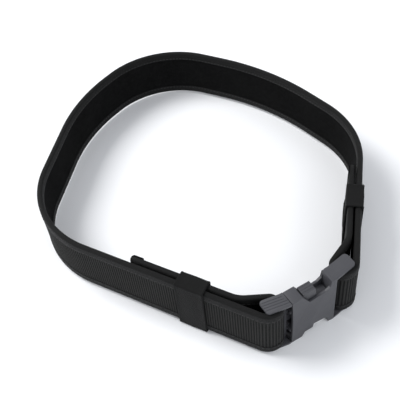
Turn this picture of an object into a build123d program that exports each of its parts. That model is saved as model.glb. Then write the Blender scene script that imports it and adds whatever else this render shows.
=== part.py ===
"""Padded webbing belt, closed in a loop by a side-release buckle.

The belt stands on its lower edge. The buckle is at the front, with its halves joined along X:
the male half on -X, the housing on +X. +Y points from the buckle to the back of the loop, and
+Z is up. The origin is on the resting surface, under the middle of the whole belt's box.
"""

from build123d import *
from math import hypot
import os

# ---------------------------------------------------------------- driving dimensions, mm
belt_width = 50.0  # height of the belt as it stands
core_thickness = 2.4
face_thickness = 0.8  # ribbed webbing outside
lining_thickness = 0.8  # loop pile inside
ply_gap = 0.05  # glue line between two plies
binding_wall = 0.5  # edge tape
binding_reach = 8.0  # how far the edge tape comes down each face

layer_gap = 1.5  # between the belt and its folded-back tail
hook_thickness = 0.9
hook_length = 55.0
hook_inset = 6.0  # from the tail's tip to the hook strip
hook_margin = 6.0  # from the belt's edge to the hook strip
left_tail_reach = 121.0  # tail's tip, along the belt from the corner beside the buckle
right_tail_reach = 108.0
end_tape_wall = 0.3
end_tape_reach = 10.0

keeper_length = 25.0
keeper_wall = 1.2
keeper_clearance = 0.5
keeper_corner = 0.5  # radius inside the sleeve's corners
left_keeper_place = 65.0  # middle of the keeper, along the belt from the same corner
right_keeper_place = 72.0

buckle_depth = 13.0
housing_length = 41.0
wall = 2.0  # housing front and back
bridge_length = 9.5  # closed ring at the housing's mouth
bridge_wall = 2.5
end_wall = 5.5
window_length = 26.5
window_depth = 10.5
window_lean = 6.5  # how far the window's side slopes in, next to the bridge
window_far_lean = 2.5
window_round = 1.0
mouth_hollow = 0.8  # how far the housing's mouth curves in
rail_length = 20.0  # from the housing's face to the end of the rail
rail_drop = 3.2  # how far the rail's end bends towards the wearer
rail_round = 3.0
rail_thickness = 2.1  # above and below the belt
bar_place = 12.5  # bar's axis, from the housing's face
bar_diameter = 7.4
bar_clearance = 0.3
slot_clearance = 0.4  # between the belt's edges and the rails
joint_gap = 0.5  # between the male half and the housing's mouth
edge_round = 0.8

crossbar_depth = 4.0
crossbar_length = 2.2
crossbar_set_back = 2.0  # behind the middle of the buckle
prong_width = 8.4
arm_thickness = 3.6
arm_drop = 4.5  # arm's middle below the window's floor
button_length = 11.0
button_lean = 2.0
button_drop = 0.5  # button's top below the rail's top
prong_length = 33.0
prong_clearance = 0.3
knuckle_radius = 2.2
tongue_height = 7.0
tongue_depth = 3.4
tongue_length = 28.0
grip_groove_width = 0.6
grip_groove_depth = 0.3
grip_groove_pitch = 2.4

# Corners of the belt's line from one end of the buckle round to the other, measured from the
# middle of the buckle, and the radius of the bend at each.
corner_points = [(-161, 186), (-55, 304), (48, 341), (124, 230), (144, 113)]
corner_radii = [85, 165, 78, 240, 90]
end_run = 7.5  # from the bar's axis to the corner beside it
end_radius = 12.0
tail_radius = 25.0
tail_run = 28.0  # from the corner beside the buckle to the bend in the tail
fold_slack = 1.0  # how loosely the tail leaves the bar
stitch_width = 0.9
stitch_height = 0.15
stitch_inset = 1.6  # from the edge tape's inner border to the row of stitches
seam_length = 14.0  # keeper's overlapped seam, along the belt
seam_thickness = 1.0

# ---------------------------------------------------------------- worked-out sizes
strap_thickness = core_thickness + face_thickness + lining_thickness + 2 * binding_wall
half_strap = strap_thickness / 2
half_ply = half_strap - binding_wall
buckle_height = belt_width + 2 * (rail_thickness + slot_clearance)
belt_floor = rail_thickness + slot_clearance  # height of the belt's lower edge
wrap_radius = bar_diameter / 2 + bar_clearance + half_strap
half_housing = housing_length / 2
bar_x = half_housing + bar_place
end_corner = bar_x + end_run
bar_y = -1.0  # bar's axis, from the buckle's line
front_y = bar_y - wrap_radius  # belt's line in front of the bar
fold_x = bar_x - wrap_radius  # belt's line where it turns beside the buckle
fold_y = bar_y + wrap_radius + fold_slack
buckle_front = -9.5
buckle_back = buckle_front + buckle_depth
layer_pitch = strap_thickness + layer_gap
middle_z = buckle_height / 2
buckle_middle_y = (buckle_front + buckle_back) / 2


def unit(start, end):
    """Direction from one point to another in plan."""
    dx, dy = end[0] - start[0], end[1] - start[1]
    return dx / hypot(dx, dy), dy / hypot(dx, dy)


def along(start, direction, distance, inwards=0.0, side=1):
    """A point so far along a line and so far inside the loop from it."""
    dx, dy = direction
    return (
        start[0] + dx * distance + side * dy * inwards,
        start[1] + dy * distance - side * dx * inwards,
    )


left_corner = (-end_corner, front_y)
right_corner = (end_corner, front_y)
left_way = unit(left_corner, corner_points[0])  # away from the buckle
right_way = unit(right_corner, corner_points[-1])

# Start of each tail's line, one layer inside the belt's, and the bend where the tail leaves it.
left_tail_foot = along(left_corner, left_way, 0, layer_pitch, 1)
right_tail_foot = along(right_corner, right_way, 0, layer_pitch, -1)
left_tail_corner = along(left_tail_foot, left_way, tail_run)
right_tail_corner = along(right_tail_foot, right_way, tail_run)
left_tip = along(left_tail_foot, left_way, left_tail_reach)
right_tip = along(right_tail_foot, right_way, right_tail_reach)

# The whole loop's box, so that the origin comes under its middle.
with BuildLine() as loop_line:
    FilletPolyline(
        (-bar_x, front_y),
        left_corner,
        *corner_points,
        right_corner,
        (bar_x, front_y),
        radius=[end_radius, *corner_radii, end_radius],
    )
loop_box = loop_line.line.bounding_box()
origin_x = (loop_box.min.X + loop_box.max.X) / 2
belt_skin = half_strap + ply_gap + stitch_height  # belt's middle to its outermost thread
loop_front = min(buckle_front, front_y - belt_skin)
origin_y = (loop_front + loop_box.max.Y + belt_skin) / 2


def level(height=0.0):
    """Horizontal plane at a height, with its origin under the middle of the buckle."""
    return Plane(origin=(-origin_x, -origin_y, height))


# ---------------------------------------------------------------- the belt's line, tip to tip
with BuildLine(level()) as belt_line:
    FilletPolyline(
        left_tip,
        left_tail_corner,
        (-fold_x, fold_y),
        (-fold_x, front_y),
        left_corner,
        *corner_points,
        right_corner,
        (fold_x, front_y),
        (fold_x, fold_y),
        right_tail_corner,
        right_tip,
        radius=[
            tail_radius,
            wrap_radius,
            wrap_radius,
            end_radius,
            *corner_radii,
            end_radius,
            wrap_radius,
            wrap_radius,
            tail_radius,
        ],
    )

belt_path = belt_line.wire()
os.makedirs("parts", exist_ok=True)


# Plane across the belt's first tip: x is the belt's webbing side, y is up.
start_way = belt_path % 0
section_plane = Plane(
    origin=belt_path @ 0, x_dir=Vector(-start_way.Y, start_way.X, 0), z_dir=start_way
)


def save(part, name):
    part.label = name
    export_step(part, f"parts/{name}.step")


def ply(name, inner, outer):
    """One flat layer of the belt between two distances from its middle."""
    ply_width = belt_width - 2 * binding_wall - 2 * ply_gap
    with BuildPart() as layer:
        with BuildSketch(section_plane):
            with Locations(((inner + outer) / 2, belt_floor + belt_width / 2)):
                Rectangle(outer - inner, ply_width)
        sweep(path=belt_path)
    save(layer.part, name)


def binding(name, upper):
    """Edge tape folded over the belt's upper or lower edge."""
    edge = belt_floor + belt_width if upper else belt_floor
    into = -1 if upper else 1
    inner_reach = binding_reach - binding_wall + ply_gap
    with BuildPart() as tape:
        with BuildSketch(section_plane):
            with Locations((0, edge + into * binding_reach / 2)):
                Rectangle(strap_thickness, binding_reach)
            with Locations((0, edge + into * (binding_wall - ply_gap + inner_reach / 2))):
                Rectangle(2 * half_ply + 2 * ply_gap, inner_reach, mode=Mode.SUBTRACT)
        sweep(path=belt_path)
    save(tape.part, name)


half_core = core_thickness / 2
ply("stiffener_core", -half_core, half_core)
ply("webbing_face", half_core + ply_gap, half_ply)
ply("loop_lining", -half_ply, -half_core - ply_gap)
binding("top_binding", True)
binding("bottom_binding", False)


def stitch_row(name, outside, upper):
    """Thread along an edge tape, lying on one face of the belt."""
    edge = belt_floor + belt_width if upper else belt_floor
    into = -1 if upper else 1
    facing = 1 if outside else -1
    height = edge + into * (binding_reach - stitch_inset)
    out = facing * (half_strap + ply_gap + stitch_height / 2)
    with BuildPart() as thread:
        with BuildSketch(section_plane):
            with Locations((out, height)):
                Rectangle(stitch_height, stitch_width)
        sweep(path=belt_path)
    save(thread.part, name)


stitch_row("outer_top_stitching", True, True)
stitch_row("outer_bottom_stitching", True, False)
stitch_row("inner_top_stitching", False, True)
stitch_row("inner_bottom_stitching", False, False)


# ---------------------------------------------------------------- tails: hook strip and end tape
def tail_frame(corner, way, distance, inwards, side):
    """Upright plane along the belt: x away from the buckle, y up, z into the loop."""
    x, y = along(corner, way, distance, inwards, side)
    origin = (x - origin_x, y - origin_y, belt_floor + belt_width / 2)
    inward = Vector(side * way[1], -side * way[0], 0)
    return Plane(origin=origin, x_dir=Vector(way[0], way[1], 0), z_dir=inward)


def hook_strip(name, corner, way, side, reach):
    """Hook tape on the tail's face that meets the belt's lining."""
    distance = reach - end_tape_reach - hook_inset - hook_length / 2
    inwards = layer_pitch - half_ply - hook_thickness - ply_gap
    plane = tail_frame(corner, way, distance, inwards, side)
    with BuildPart() as hook:
        with BuildSketch(plane):
            Rectangle(hook_length, belt_width - 2 * binding_reach - hook_margin)
        extrude(amount=hook_thickness)
    save(hook.part, name)


def end_tape(name, corner, way, side, reach):
    """Tape folded over the cut end of the tail."""
    plane = tail_frame(corner, way, reach, layer_pitch, side)
    inner_half = half_strap + stitch_height + 2 * ply_gap
    with BuildPart() as tape:
        with BuildSketch(plane):
            with Locations((end_tape_wall + ply_gap - end_tape_reach / 2, 0)):
                Rectangle(end_tape_reach, belt_width)
        extrude(amount=inner_half + end_tape_wall, both=True)
        with BuildSketch(plane):
            with Locations((-end_tape_reach / 2 + ply_gap, 0)):
                Rectangle(end_tape_reach, 2 * belt_width)
        extrude(amount=inner_half, both=True, mode=Mode.SUBTRACT)
    save(tape.part, name)


hook_strip("left_hook_strip", left_corner, left_way, 1, left_tail_reach)
hook_strip("right_hook_strip", right_corner, right_way, -1, right_tail_reach)
end_tape("left_end_tape", left_corner, left_way, 1, left_tail_reach)
end_tape("right_end_tape", right_corner, right_way, -1, right_tail_reach)


# ---------------------------------------------------------------- keepers
def keeper(name, corner, way, side, place):
    """Sleeve of webbing round the belt and its tail."""
    stack = 2 * strap_thickness + layer_gap
    plane = tail_frame(corner, way, place, layer_pitch / 2, side)
    inner_depth = stack + 2 * keeper_clearance
    inner_height = belt_width + 2 * keeper_clearance
    with BuildPart() as sleeve:
        with BuildSketch(Plane(plane.origin, x_dir=plane.z_dir, z_dir=plane.x_dir)):
            outer_corner = keeper_wall + keeper_corner
            RectangleRounded(
                inner_depth + 2 * keeper_wall, inner_height + 2 * keeper_wall, outer_corner
            )
            RectangleRounded(inner_depth, inner_height, keeper_corner, mode=Mode.SUBTRACT)
        extrude(amount=keeper_length / 2, both=True)
    save(sleeve.part, name)


def keeper_seam(name, corner, way, side, place):
    """Overlapped end of the keeper's webbing, sewn down on the wearer's side."""
    stack = 2 * strap_thickness + layer_gap
    face = layer_pitch / 2 + stack / 2 + keeper_clearance + keeper_wall + ply_gap
    with BuildPart() as seam:
        with BuildSketch(tail_frame(corner, way, place, face, side)):
            Rectangle(keeper_length - 2 * ply_gap, seam_length)
        extrude(amount=seam_thickness)
    save(seam.part, name)


keeper("left_keeper", left_corner, left_way, 1, left_keeper_place)
keeper("right_keeper", right_corner, right_way, -1, right_keeper_place)
keeper_seam("left_keeper_seam", left_corner, left_way, 1, left_keeper_place)
keeper_seam("right_keeper_seam", right_corner, right_way, -1, right_keeper_place)


# ---------------------------------------------------------------- buckle
def bent_strip(sign, root, overlap, low, high):
    """Plan of a strip between two depths: straight at the root, then bent towards the wearer."""
    end = half_housing + rail_length
    return [
        (sign * (root - overlap), low),
        (sign * root, low),
        (sign * end, low + rail_drop),
        (sign * end, high + rail_drop),
        (sign * root, high),
        (sign * (root - overlap), high),
    ]


def rails(sign, root, overlap, grooves):
    """Two rails, bent towards the wearer, and the bar between them."""
    with BuildPart() as ladder:
        with BuildSketch(level(), level(buckle_height - rail_thickness)):
            with BuildLine():
                Polyline(bent_strip(sign, root, overlap, buckle_front, buckle_back), close=True)
            make_face()
        extrude(amount=rail_thickness)
        tips = ladder.edges().filter_by(Axis.Z).group_by(Axis.X)[0 if sign < 0 else -1]
        fillet(tips, radius=rail_round)
        for count in range(grooves):
            offset = (count - (grooves - 1) / 2) * grip_groove_pitch
            low = buckle_middle_y + offset - grip_groove_width / 2
            high = buckle_middle_y + offset + grip_groove_width / 2
            with BuildSketch(level(-grip_groove_depth), level(buckle_height - grip_groove_depth)):
                with BuildLine():
                    Polyline(bent_strip(sign, root, overlap, low, high), close=True)
                make_face()
            extrude(amount=2 * grip_groove_depth, mode=Mode.SUBTRACT)
        with BuildSketch(level(rail_thickness / 2)):
            with Locations((sign * bar_x, bar_y)):
                Circle(bar_diameter / 2)
        extrude(amount=buckle_height - rail_thickness)
    return ladder.part


window_start = -half_housing + bridge_length
cavity_length = housing_length - end_wall
cavity_depth = buckle_depth - 2 * wall
upright = Plane(
    origin=(-origin_x, buckle_middle_y - origin_y, 0), x_dir=(1, 0, 0), z_dir=(0, -1, 0)
)

housing_rails = rails(1, half_housing, end_wall / 2, 0)
male_rails = rails(-1, half_housing + joint_gap + crossbar_length, crossbar_length, 4)

with BuildPart() as housing:
    with BuildSketch(level()):
        with Locations((0, buckle_middle_y)):
            Rectangle(housing_length, buckle_depth)
    extrude(amount=buckle_height)
    fillet(housing.edges().filter_by(Axis.X), radius=edge_round)
    add(housing_rails)
    # the prongs' room, open at the mouth
    with BuildSketch(Plane(origin=(-origin_x, buckle_middle_y - origin_y, middle_z))):
        with Locations((-end_wall / 2, 0)):
            Rectangle(cavity_length, cavity_depth)
    extrude(amount=middle_z - bridge_wall, both=True, mode=Mode.SUBTRACT)
    # the two windows, through both walls
    for sign in (-1, 1):
        edge = middle_z + sign * middle_z
        floor = edge - sign * window_depth
        far = window_start + window_length
        with BuildSketch(upright) as window:
            with BuildLine():
                Polyline(
                    (window_start, edge),
                    (window_start + window_lean, floor),
                    (far - 2 * window_far_lean, floor + sign * 1.5),
                    (far - window_far_lean / 2, floor + sign * 4),
                    (far, edge),
                    close=True,
                )
            make_face()
            fillet([v for v in window.vertices() if abs(v.Y - floor) < 2], radius=window_round)
        extrude(amount=buckle_depth, both=True, mode=Mode.SUBTRACT)
    # the mouth curves in between its two ends
    mouth_radius = (middle_z**2 + mouth_hollow**2) / (2 * mouth_hollow)
    with BuildSketch(upright):
        with Locations((-half_housing + mouth_hollow - mouth_radius, middle_z)):
            Circle(mouth_radius)
    extrude(amount=buckle_depth, both=True, mode=Mode.SUBTRACT)
save(housing.part, "buckle_housing")

# ---------------------------------------------------------------- male half
mouth_x = -half_housing - joint_gap
crossbar_y = buckle_middle_y + crossbar_set_back
prong_root_x = mouth_x + knuckle_radius
arm_centre = middle_z - window_depth - arm_drop  # arm's middle, from the buckle's middle
arm_heights = [middle_z + sign * arm_centre for sign in (-1, 1)]
socket_radius = knuckle_radius + prong_clearance

with BuildPart() as male:
    add(male_rails)
    # the crossbar that carries the prongs, between the rails
    with BuildSketch(level()):
        with Locations((mouth_x - crossbar_length / 2, crossbar_y)):
            Rectangle(crossbar_length, crossbar_depth)
    extrude(amount=buckle_height)
    # the arms' sockets: a lug above and below each knuckle
    lug_reach = prong_root_x - mouth_x
    lug_height = 2 * socket_radius + 3.0
    for height in arm_heights:
        with Locations(
            (
                mouth_x + lug_reach / 2 - origin_x,
                crossbar_y - origin_y,
                height,
            )
        ):
            Box(lug_reach, crossbar_depth, lug_height)
    for height in arm_heights:
        with BuildSketch(upright):
            with Locations((prong_root_x, height)):
                Circle(socket_radius)
        extrude(amount=buckle_depth, both=True, mode=Mode.SUBTRACT)
    # the tongue that guides it into the housing
    with BuildSketch(upright.offset(-crossbar_set_back)) as tongue:
        with Locations((mouth_x + tongue_length / 2, middle_z)):
            Rectangle(tongue_length, tongue_height)
        tip_corners = tongue.vertices().sort_by(Axis.X)[-2:]
        fillet(tip_corners, radius=tongue_height / 3)
    extrude(amount=tongue_depth / 2, both=True)
save(male.part, "male_frame")


def prong(name, sign):
    """Spring arm with the release button on it, mirrored for the lower one."""
    height = middle_z + sign * arm_centre
    top = middle_z + sign * (middle_z - button_drop)
    start = window_start + window_lean * bridge_wall / window_depth + prong_clearance
    arm_top = height + sign * arm_thickness / 2
    arm_bottom = height - sign * arm_thickness / 2
    tip = prong_root_x + prong_length
    with BuildPart() as arm:
        with BuildSketch(upright):
            with Locations((prong_root_x, height)):
                Circle(knuckle_radius)
            with BuildLine():
                Polyline(
                    (prong_root_x, arm_top),
                    (start, arm_top),
                    (start, top),
                    (start + button_length, top),
                    (start + button_length + button_lean, arm_top),
                    (tip, arm_top),
                    (tip, arm_bottom),
                    (prong_root_x, arm_bottom),
                    close=True,
                )
            make_face()
        extrude(amount=prong_width / 2, both=True)
        button_plane = Plane(
            origin=(start + button_length / 2 - origin_x, buckle_middle_y - origin_y, top),
            x_dir=(1, 0, 0),
            z_dir=(0, 0, sign),
        )
        with BuildSketch(button_plane):
            with GridLocations(0, grip_groove_pitch, 1, 3):
                Rectangle(button_length, grip_groove_width)
        extrude(amount=-grip_groove_depth, mode=Mode.SUBTRACT)
    save(arm.part, name)


prong("upper_prong", 1)
prong("lower_prong", -1)
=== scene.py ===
"""Padded webbing belt with a side-release buckle: looks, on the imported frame."""

import bmesh
import bpy
import numpy as np
from mathutils import Matrix, Vector


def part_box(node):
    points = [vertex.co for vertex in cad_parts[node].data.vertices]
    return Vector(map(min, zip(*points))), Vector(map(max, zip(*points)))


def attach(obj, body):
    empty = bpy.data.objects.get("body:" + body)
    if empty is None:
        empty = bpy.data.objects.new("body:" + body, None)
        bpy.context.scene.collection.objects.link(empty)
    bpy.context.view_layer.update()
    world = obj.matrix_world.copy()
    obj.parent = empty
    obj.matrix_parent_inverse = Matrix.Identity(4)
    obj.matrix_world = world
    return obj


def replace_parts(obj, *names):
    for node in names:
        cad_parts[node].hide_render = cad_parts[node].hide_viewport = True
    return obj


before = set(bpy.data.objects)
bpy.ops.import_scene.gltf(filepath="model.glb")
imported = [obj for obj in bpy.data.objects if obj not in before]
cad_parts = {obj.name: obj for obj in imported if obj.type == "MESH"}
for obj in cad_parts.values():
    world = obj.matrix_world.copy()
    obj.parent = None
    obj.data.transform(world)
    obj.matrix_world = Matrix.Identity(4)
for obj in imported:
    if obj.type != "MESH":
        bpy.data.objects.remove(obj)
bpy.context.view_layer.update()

MM = 0.001
TURN = 2 * np.pi

# ------------------------------------------------------------------ sizes shared with the frame, mm
belt_width = 50.0
belt_floor = 2.5
half_strap = 2.5
layer_pitch = 6.5
binding_reach, binding_wall = 8.0, 0.5
ply_gap = 0.05
stitch_inset = 1.6
keeper_length, keeper_clearance, keeper_wall, keeper_corner = 25.0, 0.5, 1.2, 0.5
layer_gap = 1.5  # between the belt and its folded-back tail
stack = 4 * half_strap + layer_gap
seam_length, seam_thickness = 14.0, 1.0
half_housing = 20.5
bar_x, bar_y, wrap_radius = 33.0, -1.0, 6.5
front_y, fold_y = bar_y - wrap_radius, bar_y + wrap_radius + 1.0
end_corner, end_radius, tail_radius, tail_run = 40.5, 12.0, 25.0, 28.0
corner_points = [(-161, 186), (-55, 304), (48, 341), (124, 230), (144, 113)]
corner_radii = [85, 165, 78, 240, 90]
left_reach, right_reach = 121.0, 108.0
left_place, right_place = 65.0, 72.0
hook_length, hook_width, hook_inset = 55.0, 28.0, 6.0
end_tape_reach, end_tape_wall = 10.0, 0.3
stitch_height = 0.15
buckle_front = -9.5


def direction(start, end):
    way = np.subtract(end, start).astype(float)
    return way / np.hypot(*way)


left_corner, right_corner = np.array([-end_corner, front_y]), np.array([end_corner, front_y])
left_way = direction(left_corner, corner_points[0])
right_way = direction(right_corner, corner_points[-1])
left_in = np.array([left_way[1], -left_way[0]])  # towards the inside of the loop
right_in = np.array([-right_way[1], right_way[0]])
left_foot = left_corner + left_in * layer_pitch
right_foot = right_corner + right_in * layer_pitch


def rounded_line(points, radii, step=0.25):
    """Straight runs joined by tangent arcs: at each corner the arc starts radius * tan(half the
    turn) before the corner and its centre lies square to the first run."""
    points = [np.array(p, float) for p in points]
    out = [points[0]]
    for before, corner, after, radius in zip(points, points[1:], points[2:], radii):
        first, second = direction(before, corner), direction(corner, after)
        turn = np.arctan2(first[0] * second[1] - first[1] * second[0], first @ second)
        side = np.sign(turn)
        start = corner - first * radius * np.tan(abs(turn) / 2)
        square = side * np.array([-first[1], first[0]])
        centre = start + square * radius
        angles = np.linspace(0, abs(turn), max(3, int(abs(turn) * radius / step)))
        spread = -square[None] * np.cos(angles)[:, None] + first[None] * np.sin(angles)[:, None]
        out.extend(centre + radius * spread)
    out.append(points[-1])
    out = np.array(out)
    keep = np.r_[True, np.hypot(*np.diff(out, axis=0).T) > 1e-6]
    return out[keep]


class Line:
    """A line in plan with its place and its outward side at any distance along it."""

    def __init__(self, points):
        self.points = points
        gaps = np.hypot(*np.diff(points, axis=0).T)
        self.length = gaps.sum()
        self.along = np.r_[0, np.cumsum(gaps)]
        fine = np.linspace(0, self.length, int(self.length / 0.25))
        self.fine = fine
        self.xy = np.stack([np.interp(fine, self.along, points[:, k]) for k in (0, 1)], 1)
        way = np.gradient(self.xy, fine, axis=0)
        self.way = way / np.hypot(*way.T)[:, None]

    def place(self, s):
        return np.stack([np.interp(s, self.fine, self.xy[:, k]) for k in (0, 1)], -1)

    def side(self, s):
        way = np.stack([np.interp(s, self.fine, self.way[:, k]) for k in (0, 1)], -1)
        way /= np.linalg.norm(way, axis=-1, keepdims=True)
        return np.stack([-way[..., 1], way[..., 0]], -1)


left_tail_corner = left_foot + left_way * tail_run
right_tail_corner = right_foot + right_way * tail_run
fold_x = bar_x - wrap_radius
belt_points = [
    left_foot + left_way * left_reach,
    left_tail_corner,
    (-fold_x, fold_y),
    (-fold_x, front_y),
    left_corner,
    *corner_points,
    right_corner,
    (fold_x, front_y),
    (fold_x, fold_y),
    right_tail_corner,
    right_foot + right_way * right_reach,
]
belt_radii = [tail_radius, wrap_radius, wrap_radius, end_radius, *corner_radii]
belt_radii += [end_radius, wrap_radius, wrap_radius, tail_radius]
raw_line = rounded_line(belt_points, belt_radii)

# The frame's origin is under the middle of its box, so the buckle's own place gives the shift.
housing_low = np.array(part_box("buckle_housing")[0]) / MM
shift = np.array([housing_low[0] + half_housing, housing_low[1] - buckle_front])
belt = Line(raw_line + shift)


# ------------------------------------------------------------------ meshes
def mesh_object(name, verts, faces, uv=None, smooth=True):
    """A mesh in metres from millimetre points; uv holds one pair per point, in millimetres."""
    mesh = bpy.data.meshes.new(name)
    verts = np.asarray(verts, float).reshape(-1, 3) * MM
    mesh.from_pydata(verts, [], [tuple(f) for f in faces])
    if uv is not None:
        layer = mesh.uv_layers.new(name="cloth")
        corner = np.zeros(len(mesh.loops), np.int32)
        mesh.loops.foreach_get("vertex_index", corner)
        layer.data.foreach_set("uv", np.asarray(uv, float).reshape(-1, 2)[corner].ravel())
    mesh.polygons.foreach_set("use_smooth", np.full(len(mesh.polygons), smooth))
    mesh.update()
    made = bpy.data.objects.new(name, mesh)
    bpy.context.scene.collection.objects.link(made)
    return made


def grid_faces(rows, columns, closed=False):
    """Quads over a grid of points; closed joins the last column to the first."""
    i, j = np.meshgrid(np.arange(rows - 1), np.arange(columns - (not closed)), indexing="ij")
    k = (j + 1) % columns
    low, high = i * columns, (i + 1) * columns
    return np.stack([low + j, low + k, high + k, high + j], -1).reshape(-1, 4)


def outward(piece):
    """Turns every face outwards on a closed mesh."""
    work = bmesh.new()
    work.from_mesh(piece.data)
    bmesh.ops.recalc_face_normals(work, faces=work.faces)
    work.to_mesh(piece.data)
    work.free()
    return piece


def carried(name, line, s, out, height):
    """A closed profile carried along a line, with flat ends. The point (i, j) is
    line(s_i) + out_ij * side(s_i), raised to height_ij."""
    s = np.asarray(s, float)
    out, height = np.broadcast_arrays(np.atleast_2d(out), np.atleast_2d(height))
    rows, columns = len(s), out.shape[1]
    out = np.broadcast_to(out, (rows, columns))
    height = np.broadcast_to(height, (rows, columns))
    plan = line.place(s)[:, None] + out[..., None] * line.side(s)[:, None]
    verts = np.concatenate([plan, height[..., None]], -1)
    steps_out = np.diff(np.c_[out, out[:, :1]], axis=1)
    steps_up = np.diff(np.c_[height, height[:, :1]], axis=1)
    ring = steps_out**2 + steps_up**2
    across = np.c_[np.zeros(rows), np.cumsum(np.sqrt(ring), 1)[:, :-1]]
    uv = np.stack([np.broadcast_to(s[:, None], across.shape), across], -1)
    faces = [tuple(f) for f in grid_faces(rows, columns, True)]
    faces += [tuple(range(columns)), tuple(range((rows - 1) * columns, rows * columns))[::-1]]
    return outward(mesh_object(name, verts, faces, uv))


def rounded_profile(points, radii, count=6):
    """Closed outline whose corners are arcs of count points, as (out, height) columns."""
    points = [np.array(p, float) for p in points]
    rows = []
    for n, (corner, radius) in enumerate(zip(points, radii)):
        first = direction(points[n - 1], corner)
        second = direction(corner, points[(n + 1) % len(points)])
        turn = np.arctan2(first[0] * second[1] - first[1] * second[0], first @ second)
        side = np.sign(turn)
        start = corner - first * radius * np.tan(abs(turn) / 2)
        square = side * np.array([-first[1], first[0]])
        angles = np.linspace(0, abs(turn), count)
        across = square * radius * np.cos(angles)[:, None]
        ahead = first * radius * np.sin(angles)[:, None]
        rows.append(start + square * radius - across + ahead)
    outline = np.concatenate(rows)
    return outline[:, 0], outline[:, 1]


# ------------------------------------------------------------------ materials
class Value:
    """A shader number that takes Python arithmetic."""

    def __init__(self, finish, socket):
        self.finish, self.socket = finish, socket

    def _with(self, operation, *others):
        inputs = dict(enumerate((self, *others)))
        return Value(self.finish, self.finish.node("ShaderNodeMath", {"operation": operation}, inputs)[0])

    def __add__(self, other):
        return self._with("ADD", other)

    def __mul__(self, other):
        return self._with("MULTIPLY", other)

    def __rsub__(self, other):
        return self * -1 + other

    __radd__, __rmul__ = __add__, __mul__

    def sin(self):
        return self._with("SINE")

    def abs(self):
        return self._with("ABSOLUTE")

    def power(self, other):
        return self._with("POWER", other)

    def between(self, low, high):
        """0 at low, 1 at high, straight between and held outside."""
        inputs = {"Value": self, "From Min": low, "From Max": high}
        return Value(self.finish, self.finish.node("ShaderNodeMapRange", {"clamp": True}, inputs)[0])


class Finish:
    """A material built from one shader, with node() for everything else."""

    def __init__(self, name):
        self.material = bpy.data.materials.new(name)
        self.material.use_nodes = True
        self.nodes = self.material.node_tree.nodes
        self.links = self.material.node_tree.links
        self.shader = self.nodes["Principled BSDF"]

    def node(self, kind, settings=None, inputs=None):
        made = self.nodes.new(kind)
        for key, value in (settings or {}).items():
            setattr(made, key, value)
        for key, value in (inputs or {}).items():
            self.feed(made.inputs[key], value)
        return made.outputs

    def feed(self, socket, value):
        value = value.socket if isinstance(value, Value) else value
        if isinstance(value, bpy.types.NodeSocket):
            self.links.new(value, socket)
        else:
            socket.default_value = value

    def cloth(self):
        """Distance along the cloth and across it, in millimetres."""
        spot = self.node("ShaderNodeUVMap", {"uv_map": "cloth"})[0]
        parts = self.node("ShaderNodeSeparateXYZ", {}, {0: spot})
        return Value(self, parts[0]), Value(self, parts[1])

    def noise(self, per_metre, detail, stretch=(1, 1, 1)):
        """Cloudy value about 0.5, with its place in the object's own metres."""
        spot = self.node("ShaderNodeTexCoord")["Object"]
        spot = self.node("ShaderNodeVectorMath", {"operation": "MULTIPLY"}, {0: spot, 1: stretch})[0]
        inputs = {"Vector": spot, "Scale": per_metre, "Detail": detail}
        return Value(self, self.node("ShaderNodeTexNoise", {}, inputs)[0])

    def mix(self, factor, first, second):
        """Colour between two others."""
        made = self.node("ShaderNodeMix", {"data_type": "RGBA"}, {0: factor, 6: first, 7: second})
        return made[2]

    def bump(self, height, depth_mm):
        inputs = {"Height": height, "Distance": depth_mm * MM, "Strength": 1.0}
        made = self.node("ShaderNodeBump", {}, inputs)
        self.feed(self.shader.inputs["Normal"], made[0])

    def set(self, **values):
        for key, value in values.items():
            self.feed(self.shader.inputs[key.replace("_", " ")], value)
        return self


def grey(level, blue=1.0):
    return (level * 0.985, level * 0.99, level * blue, 1)


def woven(name, level, pitch, along=1.0, rough=0.78, sheen=0.25, depth=0.12):
    """Plain weave: two sine waves at right angles, so the threads pass over and under."""
    f = Finish(name)
    u, v = f.cloth()
    warp = (u * (TURN / (pitch * along))).sin()
    weft = (v * (TURN / pitch)).sin()
    weave = warp * weft
    cloud = f.noise(60, 4.0)
    fleck = f.noise(900, 2.0)
    tone_mix = (
        cloud.between(0.42, 0.75) * 0.35
        + weave.between(-0.2, 1) * 0.45
        + fleck.between(0.35, 0.8) * 0.3
    )
    f.set(Base_Color=f.mix(tone_mix, grey(level * 0.55, 0.98), grey(level * 1.5, 0.97)))
    f.set(Roughness=cloud.between(0.2, 0.8) * 0.12 + rough)
    f.set(Sheen_Weight=sheen, Sheen_Roughness=0.45, Specular_IOR_Level=0.16)
    f.bump(weave * 0.5 + fleck * 0.4, depth)
    return f.material


def ribbed(name, level):
    """Nylon ribs: each rib's crown is painted light as a highlight and the grooves between are left near
    black as painted shade; fine threads cross it, with faint dust clouds and flecks.
    """
    f = Finish(name)
    u, v = f.cloth()
    threads = (v * (TURN / 0.85) + (u * (TURN / 2.0)).sin() * 0.8).sin()
    crown = (u * (np.pi / rib_pitch)).sin().abs()
    cloud = f.noise(45, 4.0)
    fleck = f.noise(1100, 2.0)
    # The crown term is a painted highlight on each rib's crown, and where it is low the grooves read as
    # painted shade; threads, clouds and flecks are the cloth's own tone.
    tone_mix = (
        crown.power(3.0) * 0.85
        + threads.between(-0.4, 1) * 0.08
        + cloud.between(0.4, 0.8) * 0.12
        + fleck.between(0.45, 0.8) * 0.08
    )
    # Dark end: painted shade in the rib grooves. Light end: painted highlight on the rib crowns.
    f.set(Base_Color=f.mix(tone_mix, grey(level * 0.03, 0.95), grey(level * 1.75, 0.93)))
    f.set(Roughness=cloud.between(0.2, 0.8) * 0.14 + 0.66)
    f.set(Sheen_Weight=0.03, Sheen_Roughness=0.4, Specular_IOR_Level=0.14)
    f.bump(threads * 0.5 + fleck * 0.3, 0.12)
    return f.material


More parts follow.
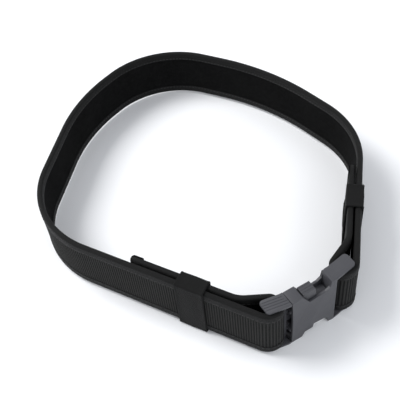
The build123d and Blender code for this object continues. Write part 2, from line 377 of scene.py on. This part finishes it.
def pile(name, level):
    """Loop pile: matted noise at two sizes."""
    f = Finish(name)
    loops = f.noise(1500, 3.0)
    mats = f.noise(260, 4.0)
    cloud = f.noise(35, 3.0)
    tone = (
        loops.between(0.35, 0.75) * 0.5
        + mats.between(0.35, 0.7) * 0.35
        + cloud.between(0.4, 0.7) * 0.2
    )
    f.set(Base_Color=f.mix(tone, grey(level * 0.5), grey(level * 1.45)))
    f.set(Roughness=0.95 - loops * 0.08)
    f.set(Specular_IOR_Level=0.04)
    f.bump(loops * 0.7 + mats * 0.5, 0.5)
    return f.material


def thread(name, level):
    """Twisted thread: slanting strands along each stitch."""
    f = Finish(name)
    u, v = f.cloth()
    strands = (u * (TURN / 0.7) + v * 3.0).sin()
    f.set(Base_Color=f.mix(strands.between(-1, 1), grey(level * 0.7), grey(level * 1.5)))
    f.set(Roughness=strands.between(-1, 1) * 0.1 + 0.5)
    f.bump(strands, 0.08)
    return f.material


def moulded(name, level, rough=0.46, scuff=0.5):
    """Moulded plastic: fine spark-eroded grain, faint flow clouds, and scuffed high spots."""
    f = Finish(name)
    grain = f.noise(2600, 2.0)
    pores = f.noise(900, 3.0)
    flow = f.noise(28, 3.0, stretch=(1, 1, 2.5))
    lines = f.noise(220, 2.0, stretch=(0.15, 1, 6))
    worn = lines.between(0.62, 0.8) * scuff
    tone = worn * 0.35 + flow.between(0.35, 0.7) * 0.3
    f.set(Base_Color=f.mix(tone, grey(level * 0.88, 1.12), grey(level * 1.3, 1.1)))
    clouds = flow.between(0.3, 0.7) * 0.1
    f.set(Roughness=grain * 0.12 + clouds + worn * -0.12 + (rough - 0.08))
    f.set(Specular_IOR_Level=0.5)
    f.bump(grain * 0.6 + pores * 0.5, 0.07)
    return f.material


rib_pitch = 2.2
webbing_finish = ribbed("ribbed nylon webbing", 0.0145)
tape_finish = woven("binding tape", 0.0072, 0.62, rough=0.62, sheen=0.03)
lining_finish = pile("loop pile lining", 0.0068)
keeper_finish = woven("keeper webbing", 0.0068, 0.9, along=1.3, rough=0.74, sheen=0.03)
thread_finish = thread("bonded thread", 0.014)
hook_finish = moulded("hook tape", 0.005, rough=0.55)
buckle_finish = moulded("grained buckle plastic", 0.056)
button_finish = moulded("release button plastic", 0.052, rough=0.42)
core_finish = woven("stiffener board", 0.03, 1.2)


def wear(piece, material, body):
    piece.data.materials.clear()
    piece.data.materials.append(material)
    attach(piece, body)
    return piece


# ------------------------------------------------------------------ the belt's layers
panel_low = belt_floor + binding_reach - 0.6
panel_high = belt_floor + belt_width - binding_reach + 0.6


def bend_steps(line, coarse, fine):
    """Places along a line, close together round tight bends and far apart on the straights."""
    turn = np.r_[0, np.hypot(*np.diff(line.way, axis=0).T)]
    density = 1 / coarse + turn / 0.25 * fine
    total = np.cumsum(density) * 0.25
    steps = np.linspace(total[0], total[-1], int(total[-1] - total[0]) + 2)
    places = np.interp(steps, total, line.fine)
    places[0], places[-1] = 0, line.length
    return places


tape_steps = bend_steps(belt, 5.0, 30.0)

core_skin = 1.25  # belt's middle to the back of each face
rib_ground, rib_height = 1.65, 0.6

# Ribbed face: out = rib_ground + rib_height * sqrt(|sin(pi s / pitch)|), rolled in at its two borders.
rib_steps = np.arange(0, belt.length, rib_pitch / 8)
rib_rise = rib_height * np.sqrt(np.abs(np.sin(np.pi * rib_steps / rib_pitch)))
border = np.array([0.0, 0.35, 0.9, 1.0, 1.0, 1.0, 1.0, 0.9, 0.35, 0.0])
rows = np.array([0, 0.25, 0.7, 1.4, 12, 23, 33.8, 34.5, 34.95, 35.2])
rows = panel_low + rows / rows[-1] * (panel_high - panel_low)
face_out = rib_ground + rib_rise[:, None] * border[None]
face_out = np.c_[face_out, np.full((len(rib_steps), 2), core_skin)]
rows = np.r_[rows, panel_high, panel_low]
webbing = carried("webbing_face_ribs", belt, rib_steps, face_out, rows)
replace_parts(wear(webbing, webbing_finish, "belt"), "webbing_face")

# Pile lining: the same kind of surface on the other side, with a low uneven nap,
# out = nap_ground + 0.05 * (product of two slanting sine waves).
nap_ground = -2.15
nap_steps = bend_steps(belt, 2.0, 30.0)
nap_rows = np.linspace(panel_low, panel_high, 15)
fine_nap = np.sin(nap_steps[:, None] * 1.7 + nap_rows[None] * 0.9)
nap = fine_nap * np.sin(nap_steps[:, None] * 0.37 - nap_rows[None] * 1.3)
nap_out = np.c_[nap_ground + 0.05 * nap, np.full((len(nap_steps), 2), -core_skin)]
nap_rows = np.r_[nap_rows, panel_high, panel_low]
lining = carried("loop_lining_pile", belt, nap_steps, nap_out, nap_rows)
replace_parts(wear(lining, lining_finish, "belt"), "loop_lining")


def fold_tape(name, upper):
    """Edge tape folded over the belt: a U-shaped outline with a round back and thin turned-in
    borders, carried along the belt."""
    thick, reach = binding_wall, binding_reach
    points = [(-1.95, reach), (-half_strap, reach), (-half_strap, 0), (half_strap, 0)]
    points += [(half_strap, reach), (1.95, reach), (1.95, thick), (-1.95, thick)]
    radii = [0.1, 0.25, 2.1, 2.1, 0.25, 0.1, 1.4, 1.4]
    out, rise = rounded_profile(points, radii)
    height = belt_floor + belt_width - rise if upper else belt_floor + rise
    return carried(name, belt, tape_steps, out, height)


for name, upper in (("top_binding", True), ("bottom_binding", False)):
    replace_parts(wear(fold_tape(f"{name}_tape", upper), tape_finish, "belt"), name)


def stitches(name, line, start, end, height, out, pitch=3.6, length=2.9, width=0.75):
    """A row of stitches: each is a half-buried capsule, its middle proud of the cloth and its ends
    dipping in. Along it t runs from -1 to 1, the sag is t^4 and the girth sqrt(1 - t^6)."""
    middles = np.arange(start + pitch, end - pitch, pitch)
    t = np.linspace(-1, 1, 7)
    a = np.linspace(0, TURN, 6, endpoint=False)
    girth = np.sqrt(np.clip(1 - t**6, 0.02, 1))
    s = middles[:, None, None] + t[None, :, None] * length / 2 + 0 * a
    rise = np.cos(a) * girth[:, None] * 0.2 - (t**4)[:, None] * 0.28
    across = np.sin(a) * girth[:, None] * width / 2
    plan = line.place(s) + (out + np.sign(out) * rise)[None, ..., None] * line.side(s)
    z = np.broadcast_to(height + across, s.shape)
    verts = np.concatenate([plan, z[..., None]], -1)
    one = [*map(tuple, grid_faces(7, 6, True)), tuple(range(6))[::-1], tuple(range(36, 42))]
    faces = [tuple(np.array(f) + n * 42) for n in range(len(middles)) for f in one]
    uv = np.stack([s, np.broadcast_to(across, s.shape)], -1)
    return outward(mesh_object(name, verts, faces, uv))


low_row = belt_floor + binding_reach - stitch_inset
high_row = belt_floor + belt_width - binding_reach + stitch_inset
for name, height, out in (
    ("outer_top_stitching", high_row, half_strap),
    ("outer_bottom_stitching", low_row, half_strap),
    ("inner_top_stitching", high_row, -half_strap),
    ("inner_bottom_stitching", low_row, -half_strap),
):
    row = stitches(f"{name}_threads", belt, 0, belt.length, height, out)
    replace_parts(wear(row, thread_finish, "belt"), name)


# ------------------------------------------------------------------ tails
def end_tape(name, corner, way, inward, reach):
    """Tape folded over a cut end: the outline of a hairpin in plan, raised over the full width."""
    inner = half_strap + stitch_height + 2 * ply_gap
    outer = inner + end_tape_wall
    cap = end_tape_wall + ply_gap
    mouth = cap - end_tape_reach
    points = [(mouth, -inner), (mouth, -outer), (cap, -outer), (cap, outer)]
    points += [(mouth, outer), (mouth, inner), (ply_gap, inner), (ply_gap, -inner)]
    along, out = rounded_profile(points, [0.12, 0.12, 2.4, 2.4, 0.12, 0.12, 2.1, 2.1])
    origin = corner + inward * layer_pitch + way * reach + shift
    plan = origin + along[:, None] * way + out[:, None] * inward
    eased_edge = np.array([0.0, 0.12, 0.5])
    heights = belt_floor + np.r_[eased_edge, belt_width / 2, belt_width - eased_edge[::-1]]
    inset = np.array([0.35, 0.1, 0, 0, 0, 0.1, 0.35])
    middle = plan.mean(0)
    ring = middle + (plan - middle)[None] * (1 - inset[:, None, None] * 0.05)
    verts = np.concatenate([ring, np.broadcast_to(heights[:, None, None], (7, len(along), 1))], -1)
    uv = np.stack(np.broadcast_arrays(along[None] + out[None], heights[:, None]), -1)
    faces = [*map(tuple, grid_faces(7, len(along), True))]
    faces += [tuple(range(len(along))), tuple(range(6 * len(along), 7 * len(along)))[::-1]]
    return outward(mesh_object(name, verts, faces, uv))


def hook_field(name, corner, way, inward, reach):
    """Hook tape: a thin backing with rows of small domed hooks, each a five-sided stalk."""
    middle = reach - end_tape_reach - hook_inset - hook_length / 2
    base = layer_pitch - half_strap + binding_wall - ply_gap
    backing_depth, hook_pitch = 0.25, 1.5
    lengthwise = np.arange(-hook_length / 2 + 1, hook_length / 2, hook_pitch)
    crosswise = np.arange(-hook_width / 2 + 1, hook_width / 2, hook_pitch)
    u, w = np.meshgrid(lengthwise, crosswise, indexing="ij")
    a = np.linspace(0, TURN, 5, endpoint=False)
    spread = np.array([0.2, 0.2, 0.42, 0.1])
    rise = np.array([0.0, 0.45, 0.55, 0.68])
    along = u.ravel()[:, None, None] + spread[None, :, None] * np.cos(a)
    high = w.ravel()[:, None, None] + spread[None, :, None] * np.sin(a)
    deep = base - backing_depth - np.broadcast_to(rise[None, :, None], along.shape)
    origin = corner + shift + way * middle
    plan = origin + along[..., None] * way + deep[..., None] * inward
    verts = np.concatenate([plan, (belt_floor + belt_width / 2 + high)[..., None]], -1)
    one = [*map(tuple, grid_faces(4, 5, True)), tuple(range(5))[::-1], tuple(range(15, 20))]
    faces = [tuple(np.array(f) + n * 20 + 8) for n in range(u.size) for f in one]
    backing = []
    for depth in (base, base - backing_depth):
        for x, z in ((-1, -1), (1, -1), (1, 1), (-1, 1)):
            spot = origin + way * x * hook_length / 2 + inward * depth
            backing.append([*spot, belt_floor + belt_width / 2 + z * hook_width / 2])
    sides = [(0, 1, 2, 3), (4, 7, 6, 5), (0, 4, 5, 1), (1, 5, 6, 2), (2, 6, 7, 3), (3, 7, 4, 0)]
    verts = np.concatenate([np.array(backing), verts.reshape(-1, 3)])
    return outward(mesh_object(name, verts, sides + faces, np.zeros((len(verts), 2)), smooth=False))


tails = (
    ("left", left_corner, left_way, left_in, left_reach),
    ("right", right_corner, right_way, right_in, right_reach),
)
for side, corner, way, inward, reach in tails:
    tape = end_tape(f"{side}_end_tape_fold", corner, way, inward, reach)
    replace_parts(wear(tape, tape_finish, "belt"), f"{side}_end_tape")
    hooks = hook_field(f"{side}_hook_field", corner, way, inward, reach)
    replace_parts(wear(hooks, hook_finish, "belt"), f"{side}_hook_strip")


# ------------------------------------------------------------------ keepers
def sleeve(name, corner, way, inward, place):
    """Keeper: a rounded-rectangle ring carried along the belt. Its wall is keeper_wall times lift,
    which rises into a selvedge at both mouths."""
    half = keeper_length / 2
    near_mouth = half - np.array([0.0, 0.08, 0.4, 1.3, 1.9, 6.5])
    steps = np.r_[-near_mouth, 0, near_mouth[::-1]]
    lift = np.array([0.35, 0.7, 1.0, 1.0, 0.82, 0.9, 1.0, 0.9, 0.82, 1.0, 1.0, 0.7, 0.35])
    a, b = stack / 2 + keeper_clearance, belt_width / 2 + keeper_clearance
    wall = keeper_wall
    signs = np.array([(-1, -1), (1, -1), (1, 1), (-1, 1)])
    inner_o, inner_h = rounded_profile(signs * (a, b), [keeper_corner] * 4)
    outer_o, outer_h = rounded_profile(signs * (a + wall, b + wall), [keeper_corner + wall] * 4)
    rings = []
    for s, l in zip(steps, lift):
        o = inner_o + (outer_o - inner_o) * l
        h = inner_h + (outer_h - inner_h) * l
        rings.append((s, o, h))
    inner_rings = [(p, inner_o, inner_h) for p in steps[::-1][1:-1]]
    rings = [(steps[0], inner_o, inner_h), *rings, (steps[-1], inner_o, inner_h), *inner_rings]
    origin = corner + inward * layer_pitch / 2 + way * place + shift
    verts, uv = [], []
    for p, o, h in rings:
        plan = origin + way * p + o[:, None] * inward
        verts.append(np.c_[plan, belt_floor + belt_width / 2 + h])
        girth = np.r_[0, np.cumsum(np.hypot(np.diff(o), np.diff(h)))]
        uv.append(np.c_[np.full(len(o), p), girth])
    verts, uv = np.array(verts), np.array(uv)
    count, columns = verts.shape[:2]
    i, j = np.meshgrid(np.arange(count), np.arange(columns), indexing="ij")
    low, high, q = i * columns, (i + 1) % count * columns, (j + 1) % columns
    faces = np.stack([low + j, low + q, high + q, high + j], -1).reshape(-1, 4)
    return outward(mesh_object(name, verts, faces, uv))


def seam(name, corner, way, inward, place):
    """Sewn overlap on the wearer's side: a thin pillow, thick in the middle and thin at the rim."""
    along, across = 21, 15
    x, z = np.meshgrid(np.linspace(-1, 1, along), np.linspace(-1, 1, across), indexing="ij")
    crown = (1 - x**8) * (1 - z**8)
    groove = 1 - 0.35 * np.exp(-(((np.abs(z) - 0.72) / 0.06) ** 2))
    base = layer_pitch / 2 + stack / 2 + keeper_clearance + keeper_wall
    pillow = base + ply_gap + (seam_thickness - ply_gap) * crown * groove
    spread_x, spread_z = x * (keeper_length / 2 - 0.3), z * seam_length / 2
    sheets = []
    for depth in (pillow, np.full_like(crown, base)):
        origin = corner + shift + way * place
        plan = origin + spread_x[..., None] * way + depth[..., None] * inward
        height = belt_floor + belt_width / 2 + spread_z
        sheets.append(np.concatenate([plan, height[..., None]], -1))
    verts = np.array(sheets).reshape(-1, 3)
    uv = np.stack([np.tile(spread_x.ravel(), 2), np.tile(spread_z.ravel(), 2)], -1)
    top = grid_faces(along, across)
    count = along * across
    rim = np.r_[
        np.arange(across),
        np.arange(1, along) * across + across - 1,
        count - across + np.arange(across - 2, -1, -1),
        np.arange(along - 2, 0, -1) * across,
    ]
    following = np.roll(rim, -1)
    wall = np.stack([rim, following, following + count, rim + count], -1)
    faces = [*map(tuple, top), *map(tuple, top[:, ::-1] + count), *map(tuple, wall)]
    return outward(mesh_object(name, verts, faces, uv))


for side, corner, way, inward, place, body in (
    ("left", left_corner, left_way, left_in, left_place, "left_sleeve"),
    ("right", right_corner, right_way, right_in, right_place, "right_sleeve"),
):
    band = sleeve(f"{side}_keeper_sleeve", corner, way, inward, place)
    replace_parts(wear(band, keeper_finish, body), f"{side}_keeper")
    lap = seam(f"{side}_keeper_lap", corner, way, inward, place)
    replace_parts(wear(lap, keeper_finish, body), f"{side}_keeper_seam")


# ------------------------------------------------------------------ buckle
def eased(node, material, body, width=0.45):
    """Copy of a CAD node with flat faces merged and its edges rounded over."""
    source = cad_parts[node]
    work = bmesh.new()
    work.from_mesh(source.data)
    bmesh.ops.remove_doubles(work, verts=work.verts, dist=1e-6)
    bmesh.ops.dissolve_limit(work, angle_limit=0.02, verts=work.verts, edges=work.edges)
    mesh = bpy.data.meshes.new(f"{node}_eased")
    work.to_mesh(mesh)
    work.free()
    mesh.polygons.foreach_set("use_smooth", np.full(len(mesh.polygons), True))
    made = bpy.data.objects.new(f"{node}_eased", mesh)
    bpy.context.scene.collection.objects.link(made)
    bevel = made.modifiers.new("edges", "BEVEL")
    bevel.width = width * MM
    bevel.segments = 3
    bevel.limit_method = "ANGLE"
    bevel.angle_limit = np.radians(32)
    bevel.harden_normals = True
    bevel.use_clamp_overlap = True
    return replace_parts(wear(made, material, body), node)


eased("buckle_housing", buckle_finish, "belt")
eased("male_frame", buckle_finish, "belt", 0.2)
eased("upper_prong", button_finish, "upper_button", 0.2)
eased("lower_prong", button_finish, "lower_button", 0.2)

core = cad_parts["stiffener_core"]
core.data.materials.clear()
core.data.materials.append(core_finish)

# ------------------------------------------------------------------ floor, light and camera
floor_mesh = bpy.data.meshes.new("floor")
floor_mesh.from_pydata([(-8, -8, 0), (8, -8, 0), (8, 8, 0), (-8, 8, 0)], [], [(0, 1, 2, 3)])
floor = bpy.data.objects.new("floor", floor_mesh)
bpy.context.scene.collection.objects.link(floor)
paper = Finish("pale paper floor")
paper.set(Base_Color=(0.93, 0.935, 0.945, 1), Roughness=0.9, Specular_IOR_Level=0.1)
floor_mesh.materials.append(paper.material)

world = bpy.data.worlds.new("studio")
bpy.context.scene.world = world
world.use_nodes = True
world.node_tree.nodes["Background"].inputs["Color"].default_value = (0.94, 0.96, 1.0, 1)
world.node_tree.nodes["Background"].inputs["Strength"].default_value = 0.62
bpy.context.scene.view_settings.view_transform = "Standard"


def lamp(name, place, target, size, power, colour=(1, 1, 1)):
    """Square soft light aimed at a point."""
    data = bpy.data.lights.new(name, "AREA")
    data.size, data.energy, data.color = size, power, colour
    made = bpy.data.objects.new(name, data)
    bpy.context.scene.collection.objects.link(made)
    made.location = place
    made.rotation_mode = "QUATERNION"
    made.rotation_quaternion = (Vector(target) - Vector(place)).to_track_quat("-Z", "Y")
    return made


lamp("softbox", (-0.75, 0.85, 1.35), (0, 0, 0.02), 0.9, 26)
lamp("fill", (0.5, -1.3, 0.9), (0, -0.1, 0.03), 1.2, 9, (0.93, 0.96, 1.0))

camera_data = bpy.data.cameras.new("camera")
camera = bpy.data.objects.new("camera", camera_data)
bpy.context.scene.collection.objects.link(camera)
camera_data.lens, camera_data.sensor_width = 63, 36
right_axis = Vector((0.8560, -0.5106, -0.0815)).normalized()
back_axis = Vector((-0.2891, -0.6034, 0.7431)).normalized()
up_axis = back_axis.cross(right_axis).normalized()
right_axis = up_axis.cross(back_axis)
turned = Matrix((right_axis, up_axis, back_axis)).transposed()
stand = Vector((-193.5 + shift[0], -236.5 + shift[1], 490.8)) * MM
camera.matrix_world = Matrix.Translation(stand) @ turned.to_4x4()
camera_data.clip_start, camera_data.clip_end = 0.01, 50
bpy.context.scene.camera = camera
